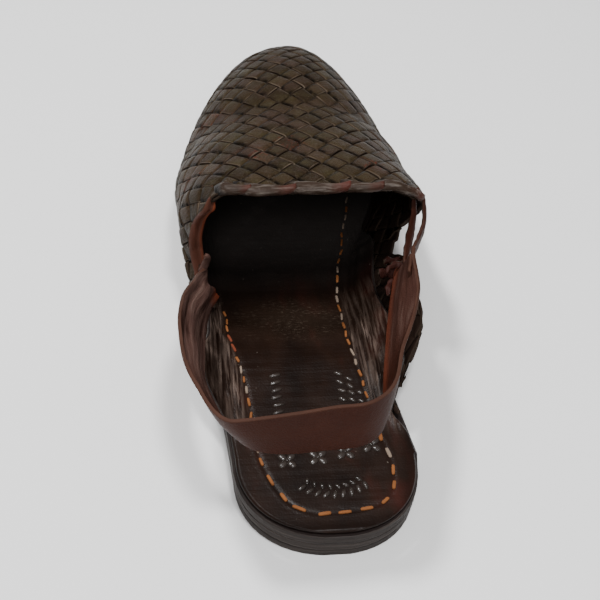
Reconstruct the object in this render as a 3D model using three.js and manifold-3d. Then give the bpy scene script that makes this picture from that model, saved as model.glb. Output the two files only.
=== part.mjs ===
// Woven leather sandal, left foot: closed woven toe, open waist and heel, one heel strap.
// Millimetres. +Y points to the toe, +X to the inner side of the foot, +Z up.
// The shoe stands on its heel lifts and on the flat spot under the ball.

import * as THREE from 'three';
import { mergeVertices } from 'three/addons/utils/BufferGeometryUtils.js';
import Module from 'manifold-3d';

const wasm = await Module();
wasm.setup();

// ---- driving dimensions ----
const shoeLength = 289;
const liftThickness = 3.5;
const liftCount = 2;
const heelLength = 74;          // from the back of the heel to the heel breast
const outsoleThickness = 4.4;
const insoleThickness = 2.4;
const fitGap = 0.3;             // between pieces that meet
const toeSpring = 8.3;
const springStart = 206;        // where the sole leaves the floor under the toes
const archStart = 128;          // where the sole leaves the floor under the arch
const wallThickness = 1.7;      // woven leather below the raised pads
const padHeight = 0.85;         // how far a pad stands over the wall
const padWide = 10.8;           // one crossing of the weave, measured round the foot
const padLong = 12.8;           // and along it: the strips are 8.3 mm wide
const padTop = 0.72;            // flat part of a pad, as a share of its width
const strapThickness = 2;

const heelRise = liftCount * (liftThickness + fitGap);

// ---- plan of the sole and of the upper: one row for each station along the foot ----
// y: station; outer, inner: sides of the sole; wallOut, wallIn: widest places of the
// upper; crown: height of the upper's ridge above the floor; square: how boxy its arch is;
// under: height below which the wall draws in to the edge of the sole
const stations = [
  { y: 40, outer: -37, inner: 31, wallOut: -46, wallIn: 35, crown: 75, square: 5.6, under: 22 },
  { y: 62, outer: -38.6, inner: 27.8, wallOut: -48.5, wallIn: 37, crown: 74, square: 5.6, under: 22 },
  { y: 85, outer: -41.4, inner: 24.4, wallOut: -50.8, wallIn: 44.2, crown: 72.6, square: 5.6, under: 24 },
  { y: 105, outer: -43.3, inner: 23, wallOut: -51.4, wallIn: 43.2, crown: 71, square: 5.4, under: 32 },
  { y: 120, outer: -45, inner: 23.4, wallOut: -53.4, wallIn: 47.6, crown: 69.4, square: 5, under: 40 },
  { y: 135, outer: -46.6, inner: 25.8, wallOut: -53.4, wallIn: 50.2, crown: 66.2, square: 4, under: 42 },
  { y: 150, outer: -48, inner: 30, wallOut: -53.6, wallIn: 49.8, crown: 62.4, square: 3.3, under: 38 },
  { y: 165, outer: -48.8, inner: 36, wallOut: -54.2, wallIn: 49.8, crown: 58.6, square: 2.85, under: 31 },
  { y: 185, outer: -48.8, inner: 43.4, wallOut: -52.2, wallIn: 51.4, crown: 53.4, square: 2.3, under: 24 },
  { y: 200, outer: -47.6, inner: 45, wallOut: -49.8, wallIn: 49, crown: 49.2, square: 2, under: 20 },
];

// the rounded ends in plan, where each side closes in on the tip
const heelEnd = { y: 34, outer: -36.6, inner: 31, tipX: -1.5, power: 2.25 };
const toeEnd = {
  y: 200,
  tipX: 8.8,
  ridge: 1.65,
  outer: { taper: 1.2, blunt: 0.38 },
  inner: { taper: 1.1, blunt: 0.56 },
};

// ---- small helpers ----
function tableCurve(rows, column) {
  // a smooth curve through one column of a table (monotone cubic between the rows)
  const n = rows.length;
  const slope = [];
  for (let i = 0; i < n - 1; i++) {
    slope.push((rows[i + 1][column] - rows[i][column]) / (rows[i + 1].y - rows[i].y));
  }
  const tangent = rows.map((row, i) => {
    if (i === 0) return slope[0];
    if (i === n - 1) return slope[n - 2];
    return slope[i - 1] * slope[i] <= 0 ? 0 : (slope[i - 1] + slope[i]) / 2;
  });
  return (y) => {
    if (y <= rows[0].y) return rows[0][column] + tangent[0] * (y - rows[0].y);
    if (y >= rows[n - 1].y) return rows[n - 1][column] + tangent[n - 1] * (y - rows[n - 1].y);
    let i = 0;
    while (y > rows[i + 1].y) i++;
    const span = rows[i + 1].y - rows[i].y;
    const t = (y - rows[i].y) / span;
    const a = (1 + 2 * t) * (1 - t) * (1 - t);
    const b = t * (1 - t) * (1 - t) * span;
    const c = t * t * (3 - 2 * t);
    const d = t * t * (t - 1) * span;
    return a * rows[i][column] + b * tangent[i] + c * rows[i + 1][column] + d * tangent[i + 1];
  };
}

const smooth = (from, to, value) => THREE.MathUtils.smoothstep(value, from, to);

const curve = {};
for (const column of ['outer', 'inner', 'wallOut', 'wallIn', 'crown', 'square', 'under']) {
  curve[column] = tableCurve(stations, column);
}

// underside of the outsole: on the lifts, down through the arch, flat, then up at the toe
function soleBottom(y) {
  const heel = heelRise * (1 - smooth(heelLength + 1, archStart, y));
  const toe = Math.max(0, (y - springStart) / (shoeLength - springStart));
  return heel + toeSpring * toe ** 2;
}

const soleTop = (y) => soleBottom(y) + outsoleThickness;

// share of the ball's half width, and of the ridge's height, left at t of the toe's length
const toeWidth = (t, { taper, blunt }) => (1 - Math.min(1, t) ** taper) ** blunt;
const toeHeight = (t) => (1 - Math.min(1, t) ** toeEnd.ridge) ** (1 / toeEnd.ridge);

// the two sides of the sole at y, moved inwards by inset
function soleSides(y, inset) {
  const back = heelEnd.y - inset;
  const front = shoeLength - toeEnd.y - inset;
  if (y < heelEnd.y) {
    const t = Math.min(1, (heelEnd.y - y) / back);
    const k = Math.max(0, 1 - t ** heelEnd.power) ** (1 / heelEnd.power);
    const outer = heelEnd.tipX + (heelEnd.outer + inset - heelEnd.tipX) * k;
    const inner = heelEnd.tipX + (heelEnd.inner - inset - heelEnd.tipX) * k;
    return [outer, inner];
  }
  if (y > toeEnd.y) {
    const t = Math.min(1, (y - toeEnd.y) / front);
    const middle = toeEnd.tipX * t;
    const outer = middle + (curve.outer(toeEnd.y) + inset) * toeWidth(t, toeEnd.outer);
    const inner = middle + (curve.inner(toeEnd.y) - inset) * toeWidth(t, toeEnd.inner);
    return [outer, inner];
  }
  return [curve.outer(y) + inset, curve.inner(y) - inset];
}

// ---- solids from sections ----
function geometryFrom(points, faces) {
  const geometry = new THREE.BufferGeometry();
  const flat = points.flatMap((p) => [p.x, p.y, p.z]);
  geometry.setAttribute('position', new THREE.Float32BufferAttribute(flat, 3));
  geometry.setIndex(faces.flat());
  return geometry;
}

// a closed solid through rings of points; every ring has the same number of points
function loft(rings) {
  const count = rings[0].length;
  const points = rings.flat();
  const faces = [];
  for (let i = 0; i < rings.length - 1; i++) {
    for (let j = 0; j < count; j++) {
      const next = (j + 1) % count;
      const a = i * count + j;
      const b = i * count + next;
      faces.push([a, b, b + count], [a, b + count, a + count]);
    }
  }
  const last = (rings.length - 1) * count;
  for (let j = 1; j < count - 1; j++) {
    faces.push([0, j + 1, j], [last, last + j, last + j + 1]);
  }
  return facingOut(geometryFrom(points, faces));
}

function signedVolume(geometry) {
  const position = geometry.getAttribute('position');
  const index = geometry.getIndex();
  const corner = [0, 1, 2].map(() => new THREE.Vector3());
  let sum = 0;
  for (let i = 0; i < index.count; i += 3) {
    corner.forEach((p, k) => p.fromBufferAttribute(position, index.getX(i + k)));
    sum += corner[0].dot(corner[1].clone().cross(corner[2])) / 6;
  }
  return sum;
}

function facingOut(geometry) {
  if (signedVolume(geometry) < 0) {
    const index = geometry.getIndex();
    for (let i = 0; i < index.count; i += 3) {
      const second = index.getX(i + 1);
      index.setX(i + 1, index.getX(i + 2));
      index.setX(i + 2, second);
    }
  }
  return geometry;
}

// the same triangles with nothing but positions, corners shared
function indexed(geometry) {
  const bare = new THREE.BufferGeometry();
  bare.setAttribute('position', geometry.getAttribute('position'));
  if (geometry.getIndex()) bare.setIndex(geometry.getIndex());
  return mergeVertices(bare, 1e-4);
}

function toManifold(geometry) {
  const merged = indexed(geometry);
  return new wasm.Manifold(new wasm.Mesh({
    numProp: 3,
    vertProperties: Float32Array.from(merged.getAttribute('position').array),
    triVerts: Uint32Array.from(merged.getIndex().array),
  }));
}

function fromManifold(solid) {
  const mesh = solid.getMesh();
  const geometry = new THREE.BufferGeometry();
  const position = new THREE.Float32BufferAttribute(new Float32Array(mesh.vertProperties), 3);
  geometry.setAttribute('position', position);
  geometry.setIndex([...mesh.triVerts]);
  return geometry;
}

// ---- soles: a plate between two heights that follows the outline ----
// stationCount sections from y0 to y1, closer together near the rounded ends
function plateStations(y0, y1, stationCount) {
  const list = [];
  for (let i = 0; i < stationCount; i++) {
    const t = i / (stationCount - 1);
    list.push(y0 + (y1 - y0) * (1 - Math.cos(Math.PI * t)) / 2);
  }
  return list;
}

function plate({ y0, y1, sides, bottom, top, round, stationCount }) {
  const rings = plateStations(y0, y1, stationCount).map((y) => {
    const [left, right] = sides(y);
    const low = bottom(y);
    const high = top(y);
    const edge = Math.min(round, (right - left) * 0.3);
    const section = [
      [left + edge, low], [right - edge, low],
      [right, low + edge], [right, high - edge],
      [right - edge, high], [left + edge, high],
      [left, high - edge], [left, low + edge],
    ];
    return section.map(([x, z]) => new THREE.Vector3(x, y, z));
  });
  return loft(rings);
}

const endTrim = 0.25;           // how far the first and last section stay off the very tip
const liftInset = [0.6, 0.3];   // each lift stands a little inside the one above it

function outsole() {
  return plate({
    y0: endTrim,
    y1: shoeLength - endTrim,
    sides: (y) => soleSides(y, 0),
    bottom: soleBottom,
    top: soleTop,
    round: 0.7,
    stationCount: 54,
  });
}

function heelLift(number) {
  const low = number * (liftThickness + fitGap);
  return plate({
    y0: endTrim + liftInset[number],
    y1: heelLength,
    sides: (y) => soleSides(y, liftInset[number]),
    bottom: () => low,
    top: () => low + liftThickness,
    round: 0.5,
    stationCount: 26,
  });
}

// the footbed reaches the sole's edge at the heel and lies inside the upper in front
const footbedInset = { heel: 0.7, waist: 5.3, toe: 4.8 };
const footbedEnd = shoeLength - 13;

function insole() {
  const inset = (y) => footbedInset.heel + footbedInset.waist * smooth(42, 58, y)
    + footbedInset.toe * smooth(212, 250, y);
  const low = (y) => soleTop(y) + fitGap;
  return plate({
    y0: footbedInset.heel + endTrim,
    y1: footbedEnd,
    sides: (y) => soleSides(y, inset(y)),
    bottom: low,
    top: (y) => low(y) + insoleThickness,
    round: 0.8,
    stationCount: 46,
  });
}

// ---- the woven upper ----
// Heights in this part are counted from the top of the outsole, so its base is level.
const featherInset = 3.4;       // the wall's outside stands this far inside the sole's edge

// one point of the upper: ahead is the share of the toe's length, from 0 at the ball to 1 at
// the tip; across and rise are the sine-like shares of half width and height
function upperPoint(y, across, rise) {
  const ahead = Math.max(0, (y - toeEnd.y) / hoodLength);
  const yt = Math.min(y, toeEnd.y);
  const left = curve.wallOut(yt);
  const right = curve.wallIn(yt);
  const base = (left + right) / 2;
  const half = (right - left) / 2;
  const height = (curve.crown(yt) - soleTop(yt)) * rise;
  const side = THREE.MathUtils.clamp(across * 2.5, -1, 1);
  const drawIn = side < 0
    ? curve.outer(yt) + featherInset - left
    : curve.inner(yt) - featherInset - right;
  const low = THREE.MathUtils.clamp(1 - height / curve.under(yt), 0, 1);
  const x = base + toeEnd.tipX * ahead + half * across + Math.abs(side) * drawIn * low ** 1.5;
  return new THREE.Vector3(x, y, height + soleTop(y));
}

// an upright arch: angle from 0 on the outer side to PI on the inner side. Ahead of the ball
// the arches get smaller, down to nothing at the tip.
const hoodLength = shoeLength - featherInset - toeEnd.y;

function archPoint(y, angle) {
  const t = THREE.MathUtils.clamp((y - toeEnd.y) / hoodLength, 0, 1);
  const power = 2 / curve.square(Math.min(y, toeEnd.y));
  const cosine = Math.cos(angle);
  const width = toeWidth(t, cosine > 0 ? toeEnd.outer : toeEnd.inner);
  const across = -Math.sign(cosine) * Math.abs(cosine) ** power * width;
  return upperPoint(y, across, Math.abs(Math.sin(angle)) ** power * toeHeight(t));
}

// a curve given as a function of 0..1, measured: where(length) is the point at that length
function measured(pointAt) {
  const fine = 240;
  const line = [];
  const walk = [0];
  for (let k = 0; k <= fine; k++) {
    line.push(pointAt(k / fine));
    if (k > 0) walk.push(walk[k - 1] + line[k].distanceTo(line[k - 1]));
  }
  const where = (length) => {
    let k = 0;
    while (k < fine - 1 && walk[k + 1] < length) k++;
    return line[k].clone().lerp(line[k + 1], (length - walk[k]) / (walk[k + 1] - walk[k]));
  };
  return { total: walk[fine], where };
}

// collar line of each side: y, z from the throat down and back to the end of the wing
const throat = { y: 118, z: 100 };
const collar = {
  outer: [[118, 60], [121, 52], [121, 38], [116, 27], [106, 22], [96, 17], [88, 5]],
  inner: [
    [118, 62], [127, 57], [133, 50], [137, 40], [142, 29], [141, 21], [131, 19],
    [126, 24], [116, 31], [104, 32], [92, 29.5], [82, 27.5], [72, 24], [60, 16], [54, 5],
  ],
};

// the strip along the outer collar is pulled tight and draws the wall in beside it
const gather = { depth: 5.2, reach: 17 };

// station of the outer collar at height z
function outerCollarStation(z) {
  const line = collar.outer;
  const below = line.findIndex(([, height]) => height < z);
  if (below === 0) return line[0][0];
  if (below < 0) return line[line.length - 1][0];
  const [y0, z0] = line[below - 1];
  const [y1, z1] = line[below];
  return THREE.MathUtils.mapLinear(z, z0, z1, y0, y1);
}

function gathered(point) {
  const near = 1 - smooth(0, gather.reach, point.y - outerCollarStation(point.z));
  const tall = smooth(16, 30, point.z) * (1 - 0.8 * smooth(60, 70, point.z));
  const outer = 1 - smooth(-40, -24, point.x);
  point.x += gather.depth * near * tall * outer;
  return point;
}

// the lattice that the pads stand on: rows at equal steps along the ridge, from behind the
// collar to the toe, and columns at equal steps down each side. A column that has run out
// of wall hangs straight down below the base, where the outsole trims it.
const wovenStart = 48;
const lastArch = 0.6;           // how far the last arch stays off the very tip
const columnsEachSide = 22;
const lowest = 7;               // how far the row ahead of the tip hangs below the last arch

function wovenNodes() {
  const rowStep = padLong / 2;
  const columnStep = padWide / 2;
  const reach = toeEnd.y + hoodLength - lastArch - wovenStart;
  const ridgeStation = (share) => wovenStart + reach * (1 - (1 - share) ** 2);
  const ridge = measured((share) => archPoint(ridgeStation(share), Math.PI / 2));
  const rowCount = Math.round(ridge.total / rowStep);
  const rows = [];
  for (let i = 0; i <= rowCount; i++) {
    const { y } = ridge.where(ridge.total * (i / rowCount));
    const row = [];
    for (const side of [-1, 1]) {
      const half = measured((share) => archPoint(y, Math.PI / 2 * (1 + side * share)));
      for (let k = side < 0 ? columnsEachSide : 0; k >= 0 && k <= columnsEachSide; k += side) {
        if (side > 0 && k === 0) continue;
        const point = half.where(Math.min(k * columnStep, half.total));
        const hang = Math.max(0, k * columnStep - half.total);
        row.push({ point: gathered(point.add(new THREE.Vector3(0, 0, -hang))), hang });
      }
    }
    rows.push(row);
  }
  rows.push(rows[rowCount].map(({ point, hang }) => {
    return { point: point.clone().add(new THREE.Vector3(0, 0, -lowest)), hang: hang + lowest };
  }));
  return rows;
}

function latticeNormal(nodes, i, j) {
  const row = (k) => nodes[THREE.MathUtils.clamp(k, 0, nodes.length - 1)];
  const last = nodes[0].length - 1;
  const column = (k) => THREE.MathUtils.clamp(k, 0, last);
  const along = row(i + 1)[j].point.clone().sub(row(i - 1)[j].point);
  const around = row(i)[column(j + 1)].point.clone().sub(row(i)[column(j - 1)].point);
  return along.cross(around).normalize();
}

// a wall of even thickness with one raised pad on each lozenge of the lattice
function wovenWall() {
  const nodes = wovenNodes();
  const lastRow = nodes.length - 1;
  const lastColumn = nodes[0].length - 1;
  const outward = Math.sign(latticeNormal(nodes, 4, Math.round(lastColumn / 2)).z);
  const points = [];
  const faces = [];
  const cache = new Map();
  const at = (i, j, layer) => {
    const key = `${i} ${j} ${layer}`;
    if (!cache.has(key)) {
      const normal = latticeNormal(nodes, i, j).multiplyScalar(outward);
      const lift = layer === 'in' ? -wallThickness : 0;
      points.push(nodes[i][j].point.clone().addScaledVector(normal, lift));
      cache.set(key, points.length - 1);
    }
    return cache.get(key);
  };
  const edges = new Map();
  for (let i = 1; i < lastRow; i++) {
    for (let j = 1; j < lastColumn; j++) {
      if ((i + j) % 2 || nodes[i][j].hang > padWide / 2) continue;
      const around = [[i - 1, j], [i, j + 1], [i + 1, j], [i, j - 1]];
      const outerRing = around.map(([a, b]) => at(a, b, 'out'));
      const innerRing = around.map(([a, b]) => at(a, b, 'in'));
      const normal = latticeNormal(nodes, i, j).multiplyScalar(outward);
      const raised = outerRing.map((index) => {
        const top = nodes[i][j].point.clone().lerp(points[index], padTop);
        points.push(top.addScaledVector(normal, padHeight));
        return points.length - 1;
      });
      faces.push([raised[0], raised[1], raised[2]], [raised[0], raised[2], raised[3]]);
      faces.push([innerRing[0], innerRing[2], innerRing[1]]);
      faces.push([innerRing[0], innerRing[3], innerRing[2]]);
      for (let k = 0; k < 4; k++) {
        const next = (k + 1) % 4;
        faces.push([outerRing[k], outerRing[next], raised[next]]);
        faces.push([outerRing[k], raised[next], raised[k]]);
        const key = [outerRing[k], outerRing[next]].sort((a, b) => a - b).join(' ');
        const side = [outerRing[k], outerRing[next], innerRing[k], innerRing[next]];
        if (edges.has(key)) edges.delete(key);
        else edges.set(key, side);
      }
    }
  }
  for (const [o0, o1, i0, i1] of edges.values()) {
    faces.push([o1, o0, i0], [o1, i0, i1]);
  }
  return toManifold(facingOut(geometryFrom(points, faces)));
}

// a slab from x0 to x1 across the shoe, cut to a side view drawn as y and z
function sideCutter(outline, x0, x1) {
  const shape = new THREE.Shape(outline.map(([y, z]) => new THREE.Vector2(y, z)));
  const geometry = new THREE.ExtrudeGeometry(shape, { depth: x1 - x0, bevelEnabled: false });
  // shape x, y and depth become y, z and x
  const basis = new THREE.Matrix4().set(
    0, 0, 1, x0,
    1, 0, 0, 0,
    0, 1, 0, 0,
    0, 0, 0, 1,
  );
  return toManifold(facingOut(indexed(geometry.applyMatrix4(basis))));
}

// the cutters reach this far past the wall, sideways and along, and this far below the sole
const wide = 90;
const spare = 20;
const deep = -30;

function woven() {
  let wall = wovenWall();
  // everything behind the collar goes
  const behind = wovenStart - spare;
  for (const [side, x0, x1] of [['outer', -wide, 0], ['inner', 0, wide]]) {
    const wingEnd = collar[side][collar[side].length - 1][0];
    const back = [[behind, deep], [behind, throat.z], [throat.y, throat.z]];
    wall = wall.subtract(sideCutter([...back, ...collar[side], [wingEnd, deep]], x0, x1));
  }
  // the wall stands on the outsole
  const rings = plateStations(behind, shoeLength + spare, 50).map((y) => {
    const high = soleTop(Math.min(y, shoeLength)) + fitGap;
    const section = [[-wide, deep], [wide, deep], [wide, high], [-wide, high]];
    return section.map(([x, z]) => new THREE.Vector3(x, y, z));
  });
  return wall.subtract(toManifold(loft(rings)));
}

// ---- toe border ----
// a band of plain leather that hugs the foot of the upper round the toe
const borderStart = 236;        // station where the band ends on each side
const borderHeight = 7;
const borderThickness = 1.4;

// the upper's outside at a height over the base; turn runs from -1 on the outer side through 0
// at the tip to 1 on the inner side
function borderPoint(turn, height) {
  const share = height / (curve.crown(toeEnd.y) - soleTop(toeEnd.y));
  const tip = (1 - share ** toeEnd.ridge) ** (1 / toeEnd.ridge) * hoodLength + toeEnd.y;
  const y = tip - (tip - borderStart) * turn ** 2;
  const t = (y - toeEnd.y) / hoodLength;
  const square = curve.square(toeEnd.y);
  const left = Math.max(0, 1 - (share / toeHeight(t)) ** square);
  const width = toeWidth(t, turn < 0 ? toeEnd.outer : toeEnd.inner);
  return upperPoint(y, Math.sign(turn) * width * left ** (1 / square), share);
}

const borderSections = 44;

function toeBorder() {
  const clear = padHeight + 3 * fitGap;
  const rings = [];
  for (let i = 0; i <= borderSections; i++) {
    const turn = 2 * (i / borderSections) - 1;
    const ends = Math.min(1, 5 * (1 - Math.abs(turn)));
    const tall = borderHeight * (0.45 + 0.55 * ends ** 0.5);
    const ahead = borderPoint(Math.min(1, turn + 0.02), 1);
    const behind = borderPoint(Math.max(-1, turn - 0.02), 1);
    const out = new THREE.Vector3(behind.y - ahead.y, ahead.x - behind.x, 0).normalize();
    const section = [
      [fitGap, clear], [fitGap, clear + borderThickness],
      [tall, clear + borderThickness * 0.8], [tall, clear],
    ];
    rings.push(section.map(([height, away]) => {
      const p = borderPoint(turn, height).addScaledVector(out, away);
      p.z = soleTop(p.y) + height;
      return p;
    }));
  }
  return loft(rings);
}

// ---- heel strap ----
// a band that stands on its edge: path of its lower edge, and how far its upper edge leans
const strapPath = [
  { x: -37, y: 112, z: 19, leanX: -9.5, leanY: -6, tall: 22 },
  { x: -41.5, y: 97, z: 26, leanX: -6.2, leanY: -3, tall: 22 },
  { x: -45.6, y: 80, z: 33, leanX: -6.5, leanY: -2, tall: 22 },
  { x: -46.6, y: 56, z: 39, leanX: -6, leanY: -2, tall: 22 },
  { x: -40.6, y: 33, z: 41, leanX: -7.2, leanY: -3, tall: 22 },
  { x: -31.5, y: 18, z: 41, leanX: -6, leanY: -5, tall: 22 },
  { x: -19, y: 15, z: 41, leanX: 0, leanY: -1, tall: 22 },
  { x: -6, y: 15.5, z: 41.5, leanX: 0, leanY: 0, tall: 22 },
  { x: 6, y: 16.5, z: 42, leanX: 0, leanY: 0, tall: 22 },
  { x: 12.5, y: 22, z: 42, leanX: 1, leanY: 0, tall: 22 },
  { x: 16.5, y: 40, z: 42, leanX: 4, leanY: 0, tall: 22 },
  { x: 22.8, y: 70, z: 39.5, leanX: 4.5, leanY: 0, tall: 22 },
  { x: 29.8, y: 98, z: 36.5, leanX: 4.5, leanY: -3, tall: 22 },
  { x: 34.8, y: 115, z: 35.5, leanX: 5.2, leanY: -8, tall: 22 },
  { x: 37.4, y: 126, z: 38, leanX: 2.2, leanY: -8, tall: 20 },
  { x: 38.2, y: 136, z: 41, leanX: -1.4, leanY: -5, tall: 14.5 },
];

// the slit that parts the strap in two near the inner collar: y and z of its corners, and the
// stretch across the shoe that it is cut through
const strapSlit = [
  [104, 47.8], [112, 52], [119.5, 54], [129, 54], [129, 51.4], [120, 51.2], [112, 49.4],
];
const slitFrom = 20;
const slitTo = 60;
const strapSections = 64;

function heelStrap() {
  const low = new THREE.CatmullRomCurve3(strapPath.map((s) => new THREE.Vector3(s.x, s.y, s.z)));
  const high = new THREE.CatmullRomCurve3(strapPath.map((s) => {
    const rise = Math.sqrt(s.tall ** 2 - s.leanX ** 2 - s.leanY ** 2);
    return new THREE.Vector3(s.x + s.leanX, s.y + s.leanY, s.z + rise);
  }));
  const rings = [];
  for (let i = 0; i <= strapSections; i++) {
    const t = i / strapSections;
    const bottom = low.getPoint(t);
    const top = high.getPoint(t);
    const along = low.getTangent(t);
    const up = top.clone().sub(bottom).normalize();
    const across = along.clone().cross(up).normalize().multiplyScalar(strapThickness / 2);
    rings.push([
      bottom.clone().add(across), top.clone().add(across),
      top.clone().sub(across), bottom.clone().sub(across),
    ]);
  }
  return fromManifold(toManifold(loft(rings)).subtract(sideCutter(strapSlit, slitFrom, slitTo)));
}

// ---- assembly ----
const leather = (color, roughness) => new THREE.MeshStandardMaterial({ color, roughness, metalness: 0 });
const finish = {
  sole: leather(0x4a3f38, 0.7),
  footbed: leather(0x1d1512, 0.35),
  woven: leather(0x3a2a24, 0.45),
  strap: leather(0x50302a, 0.5),
};

const sandal = new THREE.Group();
function add(name, geometry, material) {
  const mesh = new THREE.Mesh(geometry, material);
  mesh.name = name;
  sandal.add(mesh);
}

add('outsole', outsole(), finish.sole);
for (let i = 0; i < liftCount; i++) add(`heel_lift_${i + 1}`, heelLift(i), finish.sole);
add('insole', insole(), finish.footbed);
add('upper', fromManifold(woven()), finish.woven);
add('toe_border', toeBorder(), finish.woven);
add('heel_strap', heelStrap(), finish.strap);

// stand the origin under the middle of the shoe
const box = new THREE.Box3().setFromObject(sandal);
const middle = box.getCenter(new THREE.Vector3());
for (const mesh of sandal.children) mesh.geometry.translate(-middle.x, -middle.y, -box.min.z);

export default sandal;
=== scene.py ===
"""Woven leather sandal, left foot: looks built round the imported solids.

Sizes are in millimetres from the back of the heel, as a last maker counts them; place()
turns them into the frame's metres.
"""
import math
import random

import bmesh
import bpy
import numpy as np
from mathutils import Matrix, Vector, noise

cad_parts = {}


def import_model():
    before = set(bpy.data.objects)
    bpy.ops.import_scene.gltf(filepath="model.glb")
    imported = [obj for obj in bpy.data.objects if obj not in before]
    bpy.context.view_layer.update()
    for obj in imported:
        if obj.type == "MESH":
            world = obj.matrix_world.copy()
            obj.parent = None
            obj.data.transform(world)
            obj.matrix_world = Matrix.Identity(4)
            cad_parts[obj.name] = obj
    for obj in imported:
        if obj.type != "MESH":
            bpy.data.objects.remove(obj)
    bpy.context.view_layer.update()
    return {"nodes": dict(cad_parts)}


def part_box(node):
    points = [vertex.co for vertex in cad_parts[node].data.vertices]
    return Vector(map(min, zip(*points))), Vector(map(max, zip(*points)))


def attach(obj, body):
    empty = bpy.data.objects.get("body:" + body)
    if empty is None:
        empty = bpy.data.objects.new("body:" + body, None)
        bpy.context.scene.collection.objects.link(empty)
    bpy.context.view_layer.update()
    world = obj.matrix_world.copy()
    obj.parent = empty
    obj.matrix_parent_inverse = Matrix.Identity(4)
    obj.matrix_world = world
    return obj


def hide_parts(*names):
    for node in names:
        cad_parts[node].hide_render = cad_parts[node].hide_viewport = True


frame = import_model()

SEED = 7
noise.seed_set(SEED)

MM = 0.001

# ---- driving sizes ----
SHOE_LENGTH = 289
LIFT = 3.5
LIFT_COUNT = 2
HEEL_LENGTH = 74
OUTSOLE_THICKNESS = 4.4
INSOLE_THICKNESS = 2.4
FIT_GAP = 0.3
TOE_SPRING = 8.3
SPRING_START = 206
ARCH_START = 128
FEATHER_INSET = 3.4
COLUMN_STEP = 5.4           # half of one crossing of the weave, measured round the foot
ROW_STEP = 6.4              # and along it
STRIP_THICKNESS = 1.05
HEEL_RISE = LIFT_COUNT * (LIFT + FIT_GAP)

# one column for each size, one place for each station along the foot
PLAN = {
    "y":          (40, 62, 85, 105, 120, 135, 150, 165, 185, 200),
    "outer":      (-37.0, -38.6, -41.4, -43.3, -45.0, -46.6, -48.0, -48.8, -48.8, -47.6),
    "inner":      (31.0, 27.8, 24.4, 23.0, 23.4, 25.8, 30.0, 36.0, 43.4, 45.0),
    "wall_outer": (-46.0, -48.5, -50.8, -51.4, -53.4, -53.4, -53.6, -54.2, -52.2, -49.8),
    "wall_inner": (35.0, 37.0, 44.2, 43.2, 47.6, 50.2, 49.8, 49.8, 51.4, 49.0),
    "crown":      (75.0, 74.0, 72.6, 71.0, 69.4, 66.2, 62.4, 58.6, 53.4, 49.2),
    "square":     (5.6, 5.6, 5.6, 5.4, 5.0, 4.0, 3.3, 2.85, 2.3, 2.0),
    "under":      (22, 22, 24, 32, 40, 42, 38, 31, 24, 20),
}
HEEL = {"y": 34, "outer": -36.6, "inner": 31.0, "tip_x": -1.5, "power": 2.25}
TOE = {"y": 200, "tip_x": 8.8, "ridge": 1.65,
       "outer": {"taper": 1.2, "blunt": 0.38}, "inner": {"taper": 1.1, "blunt": 0.56}}
HOOD_LENGTH = SHOE_LENGTH - FEATHER_INSET - TOE["y"]

SOLE_SIDE = -48.8           # the sole's outer side where it is widest
SOLE_BACK = 0.25            # and its back end
low_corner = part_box("outsole")[0]
SHIFT = Vector((low_corner.x / MM - SOLE_SIDE, low_corner.y / MM - SOLE_BACK, 0.0))


def place(point):
    """A point in the shoe's own millimetres, as metres in the frame."""
    return (Vector(point) + SHIFT) * MM


# ---- curves through tables ----
def table_curve(places, values):
    """A smooth curve through one column of a table, as a function of one number or an array."""
    xs = np.array(places, float)
    ys = np.array(values, float)
    slope = np.diff(ys) / np.diff(xs)
    tangent = np.empty(len(xs))
    tangent[0], tangent[-1] = slope[0], slope[-1]
    inner = (slope[:-1] + slope[1:]) / 2
    tangent[1:-1] = np.where(slope[:-1] * slope[1:] <= 0, 0, inner)

    def curve(x):
        x = np.asarray(x, float)
        k = np.clip(np.searchsorted(xs, x, side="right") - 1, 0, len(xs) - 2)
        span = xs[k + 1] - xs[k]
        t = unit((x - xs[k]) / span)
        value = ((1 + 2 * t) * (1 - t) ** 2 * ys[k] + t * (1 - t) ** 2 * span * tangent[k]
                 + t * t * (3 - 2 * t) * ys[k + 1] + t * t * (t - 1) * span * tangent[k + 1])
        before = tangent[0] * np.minimum(0, x - xs[0])
        after = tangent[-1] * np.maximum(0, x - xs[-1])
        return value + before + after

    return curve


def unit(x):
    return np.clip(x, 0, 1)


def smooth(low, high, x):
    """0 up to low, 1 from high on, and an even rise between them."""
    t = unit((np.asarray(x, float) - low) / (high - low))
    return t * t * (3 - 2 * t)


def between(rise, fall, x):
    """0, then 1 between an even rise and an even fall."""
    return smooth(*rise, x) * (1 - smooth(*fall, x))


def walked(points):
    """How far along a line of points each of them is."""
    return np.concatenate([[0], np.cumsum(np.linalg.norm(np.diff(points, axis=0), axis=1))])


def line_curves(points):
    """The length of a line of points, and a curve for each of its coordinates."""
    walk = walked(points)
    return walk[-1], [table_curve(walk, column) for column in points.T]


def on_line(curves, s):
    return Vector([float(curve(s)) for curve in curves])


def within(outline, a, b):
    """Whether the points a, b lie inside a closed outline."""
    inside = np.zeros(np.shape(a), bool)
    for (a0, b0), (a1, b1) in zip(outline, np.roll(outline, -1, axis=0)):
        if b0 != b1:
            inside ^= ((b0 > b) != (b1 > b)) & (a < a0 + (b - b0) / (b1 - b0) * (a1 - a0))
    return inside


CURVE = {name: table_curve(PLAN["y"], PLAN[name]) for name in PLAN if name != "y"}


def sole_top(y):
    heel = HEEL_RISE * (1 - smooth(HEEL_LENGTH + 1, ARCH_START, y))
    toe = np.maximum(0, (y - SPRING_START) / (SHOE_LENGTH - SPRING_START))
    return heel + TOE_SPRING * toe ** 2 + OUTSOLE_THICKNESS


def toe_width(t, side):
    """Share of the ball's half width left at t of the toe's length, on one side."""
    return (1 - np.minimum(1, t) ** TOE[side]["taper"]) ** TOE[side]["blunt"]


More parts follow.
